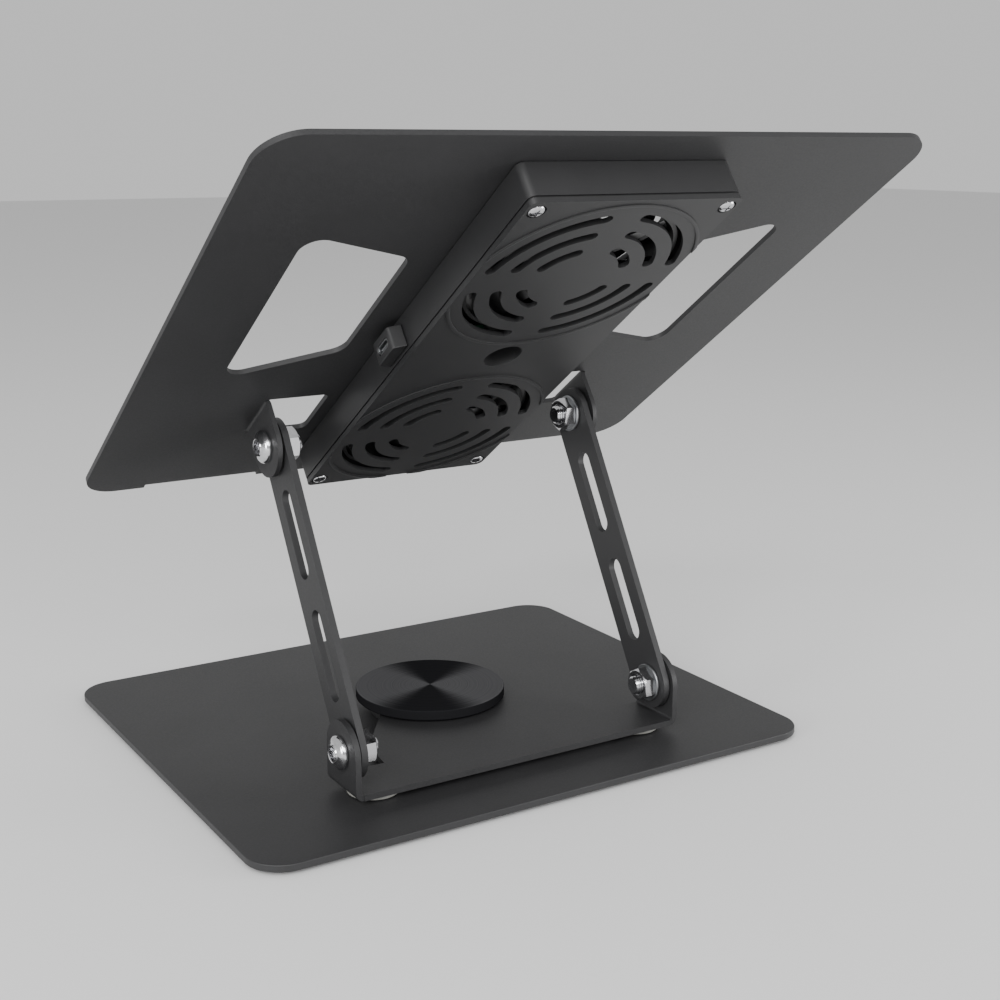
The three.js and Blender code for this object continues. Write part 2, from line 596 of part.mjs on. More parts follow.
function fanRotor(centre) {
  const { hub, tip, blades, top, bottom, pitch, blade } = ROTOR;
  const cup = slab(circle(hub, 0, 0), bottom, top, 8);
  const hollow = slab(circle(hub - 1.6, 0, 0), bottom + 1.6, top + 1, 8);
  const shaft = slab(circle(STATOR.shaft, 0, 0), bottom + 1, SHROUD.top - MOTOR_PLATE.thickness - 0.2, 4);
  const band = slab(ring(tip, hub - 0.8), bottom + 0.4, top - 0.4, 12);
  const chord = (top - bottom) / Math.sin(rad(pitch));
  const vanes = Array.from({ length: blades }, (_, i) => {
    const plate = new THREE.BoxGeometry(tip - hub + 4, chord, blade, 3, 1, 1);
    const corners = plate.attributes.position;
    for (let k = 0; k < corners.count; k += 1) {
      const along = (corners.getX(k) + (tip - hub + 4) / 2) / (tip - hub + 4);
      corners.setY(k, corners.getY(k) * (1.15 + 0.35 * along));
      const twist = rad(pitch - 14 * along);
      const [y, z] = [corners.getY(k), corners.getZ(k)];
      corners.setY(k, y * Math.cos(twist) - z * Math.sin(twist) - 6 * along * along);
      corners.setZ(k, y * Math.sin(twist) + z * Math.cos(twist));
    }
    plate.translate((tip + hub) / 2, 0, (top + bottom) / 2).rotateZ(i * 2 * Math.PI / blades);
    return toSolid(plate);
  });
  const wheel = join(...vanes).intersect(band);
  return join(cut(cup, hollow), wheel, shaft).translate([0, centre, 0]);
}

function portBlock() {
  const { v, length, chamfer, reach, top, bottom } = PORT;
  const x0 = BOX.halfWidth + GAP;
  const outline = roundedPolygon([[x0, v - length / 2], [x0 + reach, v - length / 2 + chamfer],
    [x0 + reach, v + length / 2 - chamfer], [x0, v + length / 2]], [0, 1.5, 1.5, 0]);
  const body = slab(outline, bottom, top, 2);
  const { width, height } = SOCKET;
  const middle = (top + bottom) / 2;
  const mouth = barX(rectangle(v - width / 2 - 0.2, v + width / 2 + 0.2,
    middle - height / 2 - 0.2, middle + height / 2 + 0.2, 1.7), 40, 60);
  return cut(body, mouth);
}

function usbSocket() {
  const { width, height, depth } = SOCKET;
  const middle = (PORT.top + PORT.bottom) / 2;
  const face = BOX.halfWidth + PORT.reach;
  const shell = barX(rectangle(PORT.v - width / 2, PORT.v + width / 2,
    middle - height / 2, middle + height / 2, 1.6), face - depth, face, 2);
  const inside = barX(rectangle(PORT.v - width / 2 + 0.4, PORT.v + width / 2 - 0.4,
    middle - height / 2 + 0.4, middle + height / 2 - 0.4, 1.3), face - depth + 1, face + 1, 2);
  const tongue = barX(
    rectangle(PORT.v - 3.2, PORT.v + 3.2, middle - 0.35, middle + 0.35), face - depth + 0.5, face - 0.8);
  return join(cut(shell, inside), tongue);
}

function controlBoard() {
  const { x, v } = BOARD;
  const board = slab(rectangle(x, x + 24, v, v + 12), -10.4, -9.2);
  const chip = slab(rectangle(x + 6, x + 12, v + 3, v + 8), -11.4, -10.3);
  const headers = [1, 16].map((along) =>
    slab(rectangle(x + along, x + along + 4, v + 8, v + 11.4), -12.4, -10.3));
  return join(board, chip, ...headers);
}

// A two-core lead from the board's header to its fan, held inside the box all the way.
function fanLead(points) {
  const route = new THREE.CatmullRomCurve3(points.map((point) => new THREE.Vector3(...point)));
  const section = new THREE.Shape(Array.from({ length: 8 }, (_, i) =>
    new THREE.Vector2(0.8 * Math.cos(i * Math.PI / 4), 0.8 * Math.sin(i * Math.PI / 4))));
  return toSolid(new THREE.ExtrudeGeometry(section, { steps: 12, extrudePath: route }));
}

function fillTray() {
  const edge = SHROUD.outer + 1.2;
  trayGroup.add(
    piece('top_plate', trayPlate(), POWDER_COAT),
    ...trayPads(),
    ...pair('lip_pad', lipPad(), SILICONE),
    piece('fan_housing', fanHousing(), ABS),
    piece('grille_cover', grilleCover(), ABS),
    ...SCREW_PLACES.map((place) => piece(`cover_screw_${corner(place)}`, coverScrew(place), CHROME)),
    piece('port_block', portBlock(), ABS),
    piece('usb_socket', usbSocket(), STEEL),
    piece('control_board', controlBoard(), BOARD_GREEN),
  );
  for (const [place, centre] of Object.entries(FAN_CENTRES)) {
    trayGroup.add(
      piece(`fan_frame_${place}`, fanFrame(centre), ABS),
      piece(`fan_stator_${place}`, fanStator(centre), COPPER),
      piece(`fan_rotor_${place}`, fanRotor(centre), ABS),
    );
  }
  const { x, v } = BOARD;
  const rearPath = [[x + 18, v + 12, -11.4], [x + 20, v + 16, -11.6],
    [x + 22.5, v + 21, -11.8], [x + 24.6, v + 26, -11.8]];
  const frontPath = [[x + 0.4, v + 9.7, -11.5], [x - 1.4, v + 5, -11.6], [x - 1.4, v - 8, -11.8],
    [x - 6, FAN_CENTRES.front + edge + 6, -11.8], [x - 8, FAN_CENTRES.front + edge, -11.8]];
  trayGroup.add(
    piece('fan_lead_rear', fanLead(rearPath), LEAD_BLACK),
    piece('fan_lead_front', fanLead(frontPath), LEAD_BLACK),
  );
}

// ---------------------------------------------------------------- whole stand
fillTray();
const stand = new THREE.Group();
stand.name = 'laptop_cooling_stand';
stand.add(
  baseGroup(),
  bracketGroup(),
  ...pair('arm', arm(), POWDER_COAT),
  ...hingeHardware('upper', UPPER_PIVOT, EAR.outer - TRAY.sheet),
  trayGroup,
);

export default stand;
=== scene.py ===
# %% [markdown]
# # A folding laptop stand with two fans
# The stand is bent and flat sheet steel with a powder coat, held together by plated bolts, with a plastic
# box of two fans under its tray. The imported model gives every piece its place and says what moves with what.
# Blender adds what bent steel, moulded plastic and turned bolts show close up: rounded edges, drilled holes,
# threads and the surface of each finish.

# %% Load the frame
from math import asin, atan2, cos, degrees, hypot, pi, radians, sin, tan

import bpy
from mathutils import Matrix, Vector


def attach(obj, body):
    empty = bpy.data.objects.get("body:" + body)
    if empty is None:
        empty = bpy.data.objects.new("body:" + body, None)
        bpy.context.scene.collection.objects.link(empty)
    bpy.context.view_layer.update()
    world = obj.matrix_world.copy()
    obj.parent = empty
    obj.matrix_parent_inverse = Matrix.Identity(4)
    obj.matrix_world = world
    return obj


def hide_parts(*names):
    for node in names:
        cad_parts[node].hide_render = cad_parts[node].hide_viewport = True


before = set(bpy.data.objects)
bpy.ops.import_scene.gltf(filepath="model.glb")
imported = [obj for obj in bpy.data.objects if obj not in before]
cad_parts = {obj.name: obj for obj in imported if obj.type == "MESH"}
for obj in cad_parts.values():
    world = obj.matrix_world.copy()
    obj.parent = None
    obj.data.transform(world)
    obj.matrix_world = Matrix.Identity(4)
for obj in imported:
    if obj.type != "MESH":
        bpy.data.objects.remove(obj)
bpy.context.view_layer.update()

# %% [markdown]
# ## Camera
# The stand is looked at from behind and a little above, from its right-hand side. A moderate telephoto lens
# about 70 cm away keeps the plates' edges nearly parallel. The camera is placed first, so that everything
# else can be judged through it.

# %% Place the camera
YAW, PITCH, ROLL = radians(147.94), radians(-13.82), radians(0.154)
lens = bpy.data.cameras.new("camera")
lens.lens, lens.sensor_width = 54.39, 36
lens.shift_x, lens.shift_y = -0.0027, 0.01225
camera = bpy.data.objects.new("camera", lens)
bpy.context.collection.objects.link(camera)
camera.matrix_world = (Matrix.Translation((0.31037, 0.55623, 0.25111)) @ Matrix.Rotation(YAW, 4, "Z")
                       @ Matrix.Rotation(pi / 2 + PITCH, 4, "X") @ Matrix.Rotation(ROLL, 4, "Z"))
bpy.context.scene.camera = camera
print("camera", round(degrees(YAW)), "degrees round and", round(-degrees(PITCH)), "degrees up")

# %% [markdown]
# ## Outlines
# Sheet metal starts as a flat outline that a laser cuts. Each outline here is a list of (a, b) points in
# millimetres. Corners are given sharp and then rounded by arcs that touch both sides, as a drawing does.


# %% Arcs, rounded corners and slots
def arc(x, y, radius, start, stop, steps=12):
    turns = [start + (stop - start) * i / steps for i in range(steps + 1)]
    return [(x + radius * cos(t), y + radius * sin(t)) for t in turns]


def rounded(corners, radii, steps=8):
    """The corners joined by straight lines, each corner an arc of its radius."""
    if not isinstance(radii, list):
        radii = [radii] * len(corners)
    points = []
    for i, (corner, radius) in enumerate(zip(corners, radii)):
        here = Vector(corner)
        back = (Vector(corners[i - 1]) - here).normalized()
        on = (Vector(corners[(i + 1) % len(corners)]) - here).normalized()
        if not radius:
            points.append(tuple(here))
            continue
        half = back.angle(on) / 2
        start, stop = here + back * radius / tan(half), here + on * radius / tan(half)
        middle = here + (back + on).normalized() * radius / sin(half)
        first = atan2(start.y - middle.y, start.x - middle.x)
        last = atan2(stop.y - middle.y, stop.x - middle.x)
        turn = (last - first + pi) % (2 * pi) - pi
        points += arc(*middle, radius, first, first + turn, steps)
    return points


def box_outline(x0, x1, y0, y1, radius=0, steps=8):
    return rounded([(x0, y0), (x1, y0), (x1, y1), (x0, y1)], radius, steps)


def slot_outline(start, stop, width, steps=14):
    way = atan2(stop[1] - start[1], stop[0] - start[0])
    return (arc(*start, width / 2, way + pi / 2, way + 3 * pi / 2, steps)
            + arc(*stop, width / 2, way - pi / 2, way + pi / 2, steps))


def through(points, steps=6):
    """A smooth line through the points."""
    line = []
    for i in range(len(points) - 1):
        p0, p1, p2 = (Vector(points[k]) for k in (max(i - 1, 0), i, i + 1))
        p3 = Vector(points[min(i + 2, len(points) - 1)])
        for k in range(steps):
            t = k / steps
            pull, push = (p2 - p0) / 2, (p3 - p1) / 2
            line.append(tuple((2 * p1 - 2 * p2 + pull + push) * t ** 3
                              + (-3 * p1 + 3 * p2 - 2 * pull - push) * t ** 2 + pull * t + p1))
    return line + [tuple(points[-1])]


print("a 15 mm corner has", len(box_outline(0, 40, 0, 40, 15)) // 4, "points")

# %% [markdown]
# ## Four ways of shaping
# A sheet is an outline pushed up to its thickness. Bolts, pads and washers are turned: half of their section
# is spun about its axis. Holes are drilled with a cutter of the hole's shape. The last step rounds every
# edge a little, because a perfectly sharp edge catches no light and makes steel look like card.


# %% Push up, turn, carve and soften
MM = 0.001
FACING = {"Z": lambda a, b, c: (a, b, c), "X": lambda a, b, c: (c, a, b), "Y": lambda a, b, c: (a, c, b)}


def only(thing):
    bpy.ops.object.select_all(action="DESELECT")
    thing.select_set(True)
    bpy.context.view_layer.objects.active = thing
    return thing


def edit(mode="EDIT"):
    bpy.ops.object.mode_set(mode=mode)


def polygon(name, places, fill):
    """A primitive circle whose corners are moved to the given places."""
    bpy.ops.object.select_all(action="DESELECT")
    bpy.ops.mesh.primitive_circle_add(vertices=len(places), radius=0.01, fill_type=fill)
    made = bpy.context.object
    made.name = made.data.name = name
    for vertex, place in zip(made.data.vertices, places):
        vertex.co = [value * MM for value in place]
    return made


def raised(name, outline, low, high, facing="Z"):
    turn = FACING[facing]
    made = polygon(name, [turn(a, b, low) for a, b in outline], "NGON")
    edit()
    bpy.ops.mesh.select_all(action="SELECT")
    bpy.ops.mesh.extrude_region_move(TRANSFORM_OT_translate={"value": turn(0, 0, (high - low) * MM)})
    bpy.ops.mesh.select_all(action="SELECT")
    bpy.ops.mesh.remove_doubles(threshold=1e-6)
    bpy.ops.mesh.normals_make_consistent(inside=False)
    edit("OBJECT")
    return made


def moved(thing, place=(0, 0, 0), turn=(0, 0, 0), scale=(1, 1, 1)):
    only(thing)
    thing.location, thing.rotation_euler, thing.scale = [v * MM for v in place], turn, scale
    bpy.ops.object.transform_apply(location=True, rotation=True, scale=True)
    return thing


def turned(name, profile, place=(0, 0, 0), along="Z", steps=64):
    """A (radius, height) profile spun about its axis. One that doesn't start on the axis makes a ring."""
    made = polygon(name, [(r, 0, h) for r, h in profile], "NOTHING")
    only(made)
    if profile[0][0] == 0:
        closing = [e for e in made.data.edges if set(e.vertices) == {0, len(profile) - 1}]
        for part in (made.data.edges, made.data.vertices):
            part.foreach_set("select", [False] * len(part))
        closing[0].select = True
        edit()
        bpy.ops.mesh.select_mode(type="EDGE")
        edit("OBJECT")
        closing = [e for e in made.data.edges if set(e.vertices) == {0, len(profile) - 1}]
        closing[0].select = True
        edit()
        bpy.ops.mesh.delete(type="EDGE")
    else:
        edit()
    bpy.ops.mesh.select_mode(type="VERT")
    bpy.ops.mesh.select_all(action="SELECT")
    bpy.ops.mesh.spin(steps=steps, angle=2 * pi, center=(0, 0, 0), axis=(0, 0, 1))
    bpy.ops.mesh.select_all(action="SELECT")
    bpy.ops.mesh.remove_doubles(threshold=2e-6)
    bpy.ops.mesh.normals_make_consistent(inside=False)
    edit("OBJECT")
    return moved(made, place, (0, pi / 2, 0) if along == "X" else (0, 0, 0))


def carve(thing, tool, how="DIFFERENCE"):
    only(thing)
    step = thing.modifiers.new("carve", "BOOLEAN")
    step.operation, step.solver, step.object = how, "EXACT", tool
    bpy.ops.object.modifier_apply(modifier=step.name)
    bpy.data.objects.remove(tool)
    return thing


def gathered(things):
    """Several separate solids as one mesh."""
    bpy.ops.object.select_all(action="DESELECT")
    for thing in things:
        thing.select_set(True)
    bpy.context.view_layer.objects.active = things[0]
    bpy.ops.object.join()
    return things[0]


def softened(thing, width, steps=2, angle=35):
    only(thing)
    bpy.ops.object.shade_smooth()
    step = thing.modifiers.new("soften", "BEVEL")
    step.width, step.segments = width * MM, steps
    step.limit_method, step.angle_limit = "ANGLE", radians(angle)
    step.harden_normals = True
    bpy.ops.object.modifier_apply(modifier=step.name)
    return thing


def across(thing, name):
    """The same piece on the other side of the middle plane, with its own mesh."""
    twin = thing.copy()
    twin.data = thing.data.copy()
    twin.name = twin.data.name = name
    bpy.context.collection.objects.link(twin)
    moved(twin, scale=(-1, 1, 1))
    edit()
    bpy.ops.mesh.select_all(action="SELECT")
    bpy.ops.mesh.normals_make_consistent(inside=False)
    edit("OBJECT")
    return twin


# %% [markdown]
# ## Nodes for the finishes
# Every finish is made of nodes on object coordinates, so a pattern keeps its size in millimetres and stays
# on its piece when the stand folds. Colours are written as sRGB hex values and turned to linear ones here.


# %% Colour and node helpers
def linear(hexa):
    parts = [int(hexa[i:i + 2], 16) / 255 for i in (1, 3, 5)]
    return tuple(c / 12.92 if c <= 0.04045 else ((c + 0.055) / 1.055) ** 2.4 for c in parts) + (1,)


def add(tree, kind, links=None, **settings):
    """A node with its settings; links maps an input to a value or to another node's output."""
    made = tree.nodes.new("ShaderNode" + kind)
    for key, value in settings.items():
        setattr(made, key, value)
    for key, value in (links or {}).items():
        if isinstance(value, bpy.types.NodeSocket):
            tree.links.new(value, made.inputs[key])
        else:
            made.inputs[key].default_value = value
    return made


def finish(name, **values):
    """A new material with one principled shader, and its coordinates in the object's own metres."""
    made = bpy.data.materials.new(name)
    made.use_nodes = True
    made.node_tree.nodes.clear()
    shader = add(made.node_tree, "BsdfPrincipled", values)
    add(made.node_tree, "OutputMaterial", {"Surface": shader.outputs[0]})
    return made, made.node_tree, shader, add(made.node_tree, "TexCoord").outputs["Object"]


def per_mm(size):
    """The scale that makes one cell of a noise this many millimetres wide."""
    return 1000 / size


# %% [markdown]
# ## Powder coat
# The steel is sprayed with dry charcoal powder and baked, which melts it to a matte skin about 0.08 mm thick
# with a fine even grain. The eye gets a broad soft sheen and, close up, a leathery bump. The true grain is
# about 0.3 mm; it is drawn at 0.6 mm so that it still shows from where the camera stands.


# %% Charcoal powder coat
def powder_coat(name, dark, light, rough):
    made, tree, shader, place = finish(name, Metallic=0.0, IOR=1.45)
    cloud = add(tree, "TexNoise", {"Vector": place, "Scale": per_mm(60), "Detail": 3, "Roughness": 0.6})
    speck = add(tree, "TexNoise", {"Vector": place, "Scale": per_mm(0.8), "Detail": 2, "Roughness": 0.7})
    both = add(tree, "Math", {0: cloud.outputs[0], 1: speck.outputs[0]}, operation="ADD")
    tone = add(tree, "MapRange", {"Value": both.outputs[0], "From Min": 0.75, "From Max": 1.25})
    mix = add(tree, "Mix", {"Factor": tone.outputs[0], 6: linear(dark), 7: linear(light)}, data_type="RGBA")
    tree.links.new(mix.outputs[2], shader.inputs["Base Color"])
    shine = add(tree, "MapRange", {"Value": speck.outputs[0], "From Min": 0.3, "From Max": 0.7,
                                   "To Min": rough - 0.05, "To Max": rough + 0.06})
    tree.links.new(shine.outputs[0], shader.inputs["Roughness"])
    grain = add(tree, "TexNoise", {"Vector": place, "Scale": per_mm(0.6), "Detail": 3, "Roughness": 0.65})
    bump = add(tree, "Bump", {"Height": grain.outputs[0], "Strength": 0.16, "Distance": 0.00012})
    tree.links.new(bump.outputs[0], shader.inputs["Normal"])
    return made


POWDER = powder_coat("powder_coat_charcoal", "#232324", "#2a2a2b", 0.5)
print("made", POWDER.name)

# %% [markdown]
# ## Spin-brushed black
# The disc over the turning joint is pressed against abrasive while it spins and is then blackened. Its
# scratches are rings about the centre, so it throws light to both sides and stays dark along the line of
# sight: two pale fans and two dark ones. A soft even surround gives a highlight too faint to make them, so
# the pale fans are a painted highlight: a lighter base colour on the top face at a fixed bearing, broken up
# by fine rings. The mirror-like part is left out, as it would wash over the dark fans at this low angle. The
# real scratches are about 0.05 mm apart; the drawn ones are 0.5 mm.

# %% Spun black
# Painted highlight: its two pale fans face this bearing and lie only on the top face, above this height in mm.
PAINTED_HIGHLIGHT_BEARING = radians(148)
PAINTED_HIGHLIGHT_ABOVE = 15.4

SPUN_WITH_PAINTED_HIGHLIGHT, tree, shader, place = finish("spin_brushed_black_painted_highlight", **{"Roughness": 0.5, "Specular IOR Level": 0.0})
flat = add(tree, "VectorMath", {0: place, 1: (1, 1, 0)}, operation="MULTIPLY")
reach = add(tree, "VectorMath", {0: flat.outputs[0]}, operation="LENGTH")
rings = add(tree, "TexNoise", {"W": reach.outputs["Value"], "Scale": per_mm(0.5), "Detail": 2},
            noise_dimensions="1D")
apart = add(tree, "SeparateXYZ", {0: place})
bearing = add(tree, "Math", {0: apart.outputs["Y"], 1: apart.outputs["X"]}, operation="ARCTAN2")
phase = add(tree, "Math", {0: bearing.outputs[0], 1: 2.0, 2: -2 * PAINTED_HIGHLIGHT_BEARING},
            operation="MULTIPLY_ADD")
swing = add(tree, "Math", {0: phase.outputs[0]}, operation="COSINE")
shaky = add(tree, "Math", {0: rings.outputs[0], 1: 0.5, 2: swing.outputs[0]}, operation="MULTIPLY_ADD")
# The painted highlight's mask: lighter towards the fixed bearing and the opposite one, broken up by the rings.
fans = add(tree, "MapRange", {"Value": shaky.outputs[0], "From Min": -0.55, "From Max": 0.55},
           interpolation_type="SMOOTHSTEP")
dark = add(tree, "Mix", {"Factor": rings.outputs[0], 6: linear("#0f0f10"), 7: linear("#232325")},
           data_type="RGBA")
# The colour of the painted highlight, lighter than the disc's own black.
painted_highlight_colour = add(tree, "Mix", {"Factor": rings.outputs[0], 6: linear("#3c3c3e"), 7: linear("#525253")},
          data_type="RGBA")
# The painted highlight goes on the top face only; the base colour is the black mixed with it.
on_top = add(tree, "Math", {0: apart.outputs["Z"], 1: PAINTED_HIGHLIGHT_ABOVE * MM}, operation="GREATER_THAN")
painted_highlight_mask = add(tree, "Math", {0: fans.outputs[0], 1: on_top.outputs[0]}, operation="MULTIPLY")
tone = add(tree, "Mix", {"Factor": painted_highlight_mask.outputs[0], 6: dark.outputs[2], 7: painted_highlight_colour.outputs[2]},
           data_type="RGBA")
tree.links.new(tone.outputs[2], shader.inputs["Base Color"])
groove = add(tree, "Bump", {"Height": rings.outputs[0], "Strength": 0.08, "Distance": 0.00005})
tree.links.new(groove.outputs[0], shader.inputs["Normal"])
print("made", SPUN_WITH_PAINTED_HIGHLIGHT.name)

# %% [markdown]
# ## Bright and plain steel
# The bolts, nuts and cover screws are bright nickel-chrome plate: almost a mirror, a little hazy where the
# forging's skin shows through. Washers and the socket are plain zinc plate, greyer and duller.


# %% Plated steel
def plated(name, dark, light, smooth, hazy):
    made, tree, shader, place = finish(name, Metallic=1.0)
    haze = add(tree, "TexNoise", {"Vector": place, "Scale": per_mm(2.5), "Detail": 4, "Roughness": 0.6})
    tone = add(tree, "Mix", {"Factor": haze.outputs[0], 6: linear(dark), 7: linear(light)}, data_type="RGBA")
    tree.links.new(tone.outputs[2], shader.inputs["Base Color"])
    shine = add(tree, "MapRange", {"Value": haze.outputs[0], "From Min": 0.3, "From Max": 0.7,
                                   "To Min": smooth, "To Max": hazy})
    tree.links.new(shine.outputs[0], shader.inputs["Roughness"])
    dents = add(tree, "Bump", {"Height": haze.outputs[0], "Strength": 0.1, "Distance": 0.0001})
    tree.links.new(dents.outputs[0], shader.inputs["Normal"])
    return made


CHROME = plated("nickel_chrome_plate", "#b9b9bb", "#e2e2e4", 0.1, 0.22)
ZINC = plated("zinc_plate", "#8f9193", "#b4b6b8", 0.3, 0.42)
print("made", CHROME.name, "and", ZINC.name)

# %% [markdown]
# ## Plastics and rubber
# The fan box is ABS from a mould whose steel was spark-eroded, which leaves a fine even frost. The pads are
# silicone, softer and duller, with the faint mottling of rubber. The slides and the hinges' washers are pale
# nylon, the thrust rings black nylon. One recipe serves them all, and the fans, the board and the wires too:
# a tone that varies slightly, and a bump at the size of the mould's texture.


# %% Moulded finishes
def moulded(name, dark, light, rough, cell, strength, index=1.5, **more):
    made, tree, shader, place = finish(name, Roughness=rough, IOR=index, **more)
    patch = add(tree, "TexNoise", {"Vector": place, "Scale": per_mm(14), "Detail": 3})
    tone = add(tree, "Mix", {"Factor": patch.outputs[0], 6: linear(dark), 7: linear(light)}, data_type="RGBA")
    tree.links.new(tone.outputs[2], shader.inputs["Base Color"])
    frost = add(tree, "TexNoise", {"Vector": place, "Scale": per_mm(cell), "Detail": 2, "Roughness": 0.6})
    bump = add(tree, "Bump", {"Height": frost.outputs[0], "Strength": strength, "Distance": 0.0001})
    tree.links.new(bump.outputs[0], shader.inputs["Normal"])
    return made


ABS = moulded("abs_spark_textured", "#1b1b1c", "#212122", 0.46, 0.5, 0.2)
FAN_PLASTIC = moulded("pbt_fan_plastic", "#0d0d0e", "#131314", 0.38, 0.8, 0.08)
SILICONE = moulded("silicone_rubber", "#161617", "#1d1d1e", 0.75, 0.7, 0.25, 1.43)
NYLON = moulded("natural_nylon", "#7d7d79", "#92928d", 0.45, 1.0, 0.1, 1.53)
BLACK_NYLON = moulded("black_nylon", "#161617", "#1c1c1d", 0.5, 1.0, 0.1, 1.53)
BOARD = moulded("fr4_solder_mask", "#16402b", "#1d4c34", 0.35, 1.2, 0.1)
COPPER = moulded("enamelled_copper", "#7a3f22", "#94522f", 0.3, 0.6, 0.5, Metallic=1.0)
PVC = moulded("pvc_lead", "#0c0c0d", "#121213", 0.5, 1.0, 0.1)
print("made", *(look.name for look in (ABS, FAN_PLASTIC, SILICONE, NYLON, BLACK_NYLON, BOARD, COPPER, PVC)))


# %% Hand a finished piece to its body
def fitted(piece, body, look, slot, *stands_for):
    piece.data.materials.clear()
    piece.data.materials.append(look)
    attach(piece, body)
    if stands_for:
        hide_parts(*stands_for)
    return piece


def relook(node, look):
    """A CAD node that keeps its shape and gets its finish."""
    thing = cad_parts[node]
    thing.data.materials.clear()
    thing.data.materials.append(look)


# %% [markdown]
# ## Base plate
# One 3 mm steel sheet, cut with 15 mm corners and heavy enough to keep the stand from tipping. It is pushed
# up from its outline. A countersunk hole in the middle takes the swivel bolt from below.

# %% Cut the base plate
BORE = 4.1
base = raised("base_sheet", box_outline(-127.5, 127.5, -107.5, 107.5, 15, 16), 2, 5)
carve(base, turned("sink", [(0, 1), (8.9, 1), (7.9, 2), (BORE, 5.8), (0, 5.8)]))
softened(base, 0.45, 3)
fitted(base, "base", POWDER, "powder_coat", "base_plate")
print(base.name, "has", len(base.data.polygons), "faces")

# %% [markdown]
# ## Feet, slides and washers
# Silicone feet are punched from sheet, so they are flat with slightly rounded rims. They are turned from half
# of their section, as are the round slides that carry the bracket's rear corners over the base plate.


# %% Turn the round pads
def shaded(thing, angle):
    """Smooth over gentle turns, crisp over turns sharper than the angle."""
    only(thing)
    bpy.ops.object.shade_smooth_by_angle(angle=radians(angle))
    return thing


def round_pad(name, radius, low, high, x=0, y=0, edge=0.35):
    profile = [(0, low), *arc(radius - edge, low + edge, edge, -pi / 2, 0, 4),
               *arc(radius - edge, high - edge, edge, 0, pi / 2, 4), (0, high)]
    return shaded(turned(name, profile, (x, y, 0), steps=64), 40)


def ring(name, outer, inner, low, high, place=(0, 0, 0), along="Z", edge=0.12):
    profile = [(inner, low), (outer - edge, low), (outer, low + edge),
               (outer, high - edge), (outer - edge, high), (inner, high)]
    return shaded(turned(name, profile, place, along), 40)


for word, x, y in (("front_left", -107.5, -87.5), ("front_right", 107.5, -87.5),
                   ("rear_left", -107.5, 87.5), ("rear_right", 107.5, 87.5)):
    foot = round_pad("soft_foot_" + word, 10, 0, 1.9, x, y)
    fitted(foot, "base", SILICONE, "silicone", "foot_" + word)
fitted(round_pad("soft_centre_pad", 22, 0, 1.9), "base", SILICONE, "silicone", "centre_pad")
for side, x in (("right", 63), ("left", -63)):
    slide = round_pad("slide_" + side, 10.5, 5.4, 7.7, x, 67, 0.5)
    fitted(slide, "bracket", NYLON, "nylon", "glide_pad_" + side)
for word, outer, low, high in (("lower", 27, 5.2, 7.5), ("upper", 24, 10.5, 10.9)):
    thrust = ring(word + "_thrust_ring", outer, 4.3, low, high)
    fitted(thrust, "base", BLACK_NYLON, "black_nylon", "swivel_washer_" + word)
print("four feet, a centre pad, two slides and two thrust rings")

# %% [markdown]
# ## Swivel disc
# A thick disc clamps the bracket down and hides the bolt. It is turned with a small chamfer at the rim. Its
# top face is spun black with a painted highlight; the blind hole underneath takes the bolt.

# %% Turn the disc
DISC_RADIUS = 33
half_section = [(0, 14.3), (BORE, 14.3), (BORE, 11), (32.4, 11), (DISC_RADIUS, 11.6),
                *arc(32.4, 15, 0.6, 0, pi / 2, 6), (0, 15.6)]
disc = shaded(turned("spun_disc", half_section, steps=160), 35)
# The disc's finish has a painted highlight on its top face.
fitted(disc, "base", SPUN_WITH_PAINTED_HIGHLIGHT, "spun_black", "swivel_disc")
print("disc", 2 * DISC_RADIUS, "mm across")

# %% [markdown]
# ## Swivel bracket
# One 2.4 mm sheet: a neck under the disc, two wings, and an ear bent up at each end. The wings' curved
# outline is a smooth line through a few points. Each ear is a bent strip, an L with a rounded corner pushed
# along the edge, trimmed to a round end by keeping only what is inside the ear's own outline.

# %% Bend the bracket
LOWER = (67, 24)
EAR_RADIUS = 12.5
NECK = [(27, 4), (29, 8), (34, 15), (44, 29.5), (50, 42), (52.5, 56)]
right = through(NECK)
left = [(-x, y) for x, y in reversed(right)]
lean = atan2(4, 27)


def hinge_bore(y, z):
    """A cutter for the bolt's hole, across the right-hand side."""
    return turned("bore", [(0, 60), (BORE, 60), (BORE, 90), (0, 90)], (0, y, z), "X")


floor_outline = ([*right, (73.2, 54.5), (73.2, 79.8), (-73.2, 79.8), (-73.2, 54.5), *left]
                 + arc(0, 0, hypot(27, 4), pi - lean, 2 * pi + lean, 40)[1:-1])
bracket = raised("bent_bracket", floor_outline, 7.8, 10.2)
carve(bracket, turned("sleeve_hole", [(0, 0), (8.2, 0), (8.2, 20), (0, 20)]))


def bracket_ear():
    bend = [(66, 7.8), *arc(73.2, 11.2, 3.4, -pi / 2, 0, 8), (76.6, 44), (74.2, 44),
            *arc(73.2, 11.2, 1, 0, -pi / 2, 6), (66, 10.2)]
    strip = raised("ear", bend, 54.5, 79.8, "Y")
    end = [(LOWER[0] + EAR_RADIUS, 0), *arc(*LOWER, EAR_RADIUS, 0, pi, 32), (LOWER[0] - EAR_RADIUS, 0)]
    carve(strip, raised("ear_end", end, 60, 80, "X"), "INTERSECT")
    return carve(strip, hinge_bore(*LOWER))


ear = bracket_ear()
carve(bracket, across(ear, "ear_left"), "UNION")
carve(bracket, ear, "UNION")
softened(bracket, 0.3)
fitted(bracket, "bracket", POWDER, "powder_coat", "swivel_bracket")
print("bracket has", len(bracket.data.polygons), "faces")

# %% [markdown]
# ## Arms
# Two flat bars with full round ends and two long slots each, 125 mm between their pivots, leaning 30 degrees.
# The slots are cut with a cutter of their own outline, pushed across the bar.

